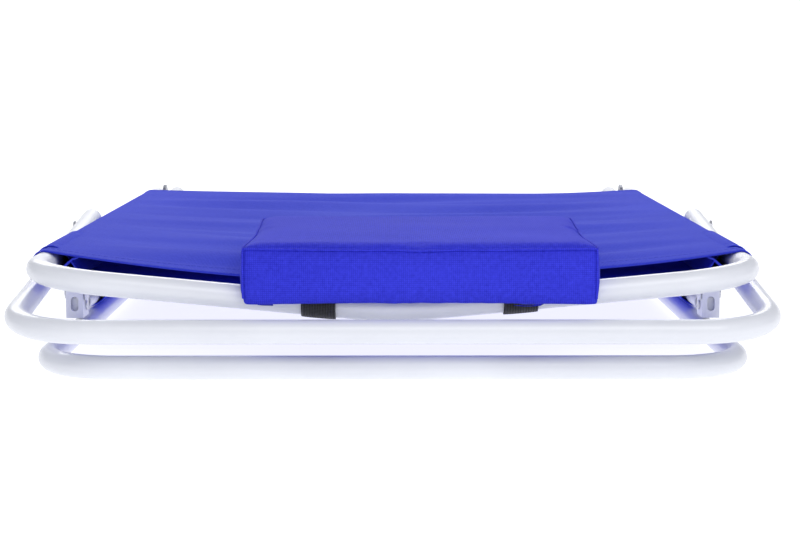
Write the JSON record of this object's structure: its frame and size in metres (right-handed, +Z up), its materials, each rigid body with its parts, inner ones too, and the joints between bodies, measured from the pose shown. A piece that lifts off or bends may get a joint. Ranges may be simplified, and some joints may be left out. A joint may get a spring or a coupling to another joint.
{
  "type": "folding sun lounger",
  "caption": "Sun lounger of hinged steel tube frames with fabric slings, head cushion and folding legs, stored folded flat in a stack.",
  "frame": {"origin": "middle of the folded lounger's footprint, on the floor", "axes": "+X across the lounger, +Y from the head bar towards the far end of the stack, +Z up"},
  "size_m": [0.6034, 0.9184, 0.105],
  "materials": {
    "white_frame": "white powder coat, semi-gloss",
    "blue_sling": "plain-weave royal-blue polyester",
    "blue_cushion": "royal-blue polyester cover",
    "foam": "soft open-cell foam, sealed inside the cover",
    "black_elastic": "woven black elastic webbing",
    "white_plastic": "moulded white plastic",
    "zinc_rivet": "bright zinc-plated steel",
    "zinc_disc": "stamped zinc-plated steel"
  },
  "bodies": {
    "seat": {"head_hinge_pins": "zinc_rivet", "seat_rails": "white_frame", "seat_rail_caps": "white_plastic", "seat_crossbar": "white_frame", "seat_crossbar_screws": "zinc_rivet", "seat_sling": "blue_sling", "hinge_tabs": "white_frame", "hinge_tab_rivets": "zinc_rivet", "foot_hinge_pins": "zinc_rivet"},
    "ratchet": {"ratchet_discs": "zinc_disc"},
    "head": {"head_frame": "white_frame", "head_rail_caps": "white_plastic", "head_sling": "blue_sling", "head_under_band": "blue_sling", "pillow_cover": "blue_cushion", "pillow_core": "foam", "pillow_straps": "black_elastic"},
    "head_leg": {"head_leg_frame": "white_frame", "head_leg_caps": "white_plastic", "head_leg_rivets": "zinc_rivet", "head_leg_spacers": "white_plastic"},
    "seat_leg": {"seat_leg_frame": "white_frame", "seat_leg_ends": "white_plastic", "seat_leg_rivets": "zinc_rivet"},
    "foot": {"foot_frame": "white_frame", "foot_sling": "blue_sling", "foot_hinge_brackets": "white_frame", "foot_bracket_rivets": "zinc_rivet", "foot_leg_brackets": "white_frame", "foot_leg_bracket_rivets": "zinc_rivet"},
    "foot_leg": {"foot_leg_frame": "white_frame", "foot_leg_ends": "white_plastic", "foot_leg_pivots": "zinc_rivet"}
  },
  "joints": [
    {"name": "fold", "type": "hinge", "parent": "seat", "child": "ratchet", "pos_m": [0, 0.28525, 0.082], "axis": [-1, 0, 0], "range_deg": [0, 177]},
    {"name": "backrest", "type": "hinge", "parent": "ratchet", "child": "head", "pos_m": [0, 0.28525, 0.082], "axis": [-1, 0, 0], "range_deg": [0, 70]},
    {"name": "head_leg_swing", "type": "hinge", "parent": "head", "child": "head_leg", "pos_m": [0, -0.05775, 0.0798], "axis": [1, 0, 0], "range_deg": [0, 44]},
    {"name": "foot_fold", "type": "hinge", "parent": "seat", "child": "foot", "pos_m": [0, -0.23575, 0.0405], "axis": [-1, 0, 0], "range_deg": [0, 177]},
    {"name": "foot_leg_swing", "type": "hinge", "parent": "foot", "child": "foot_leg", "pos_m": [0, 0.07425, 0.009], "axis": [1, 0, 0], "range_deg": [0, 147]},
    {"name": "seat_leg_swing", "type": "hinge", "parent": "seat", "child": "seat_leg", "pos_m": [0, 0.21025, 0.07757], "axis": [-1, 0, 0], "range_deg": [0, 90]}
  ],
  "couplings": [
    {"joint": "foot_fold", "follows": "fold", "ratio": 1},
    {"joint": "seat_leg_swing", "follows": "fold", "ratio": 0.5084}
  ]
}
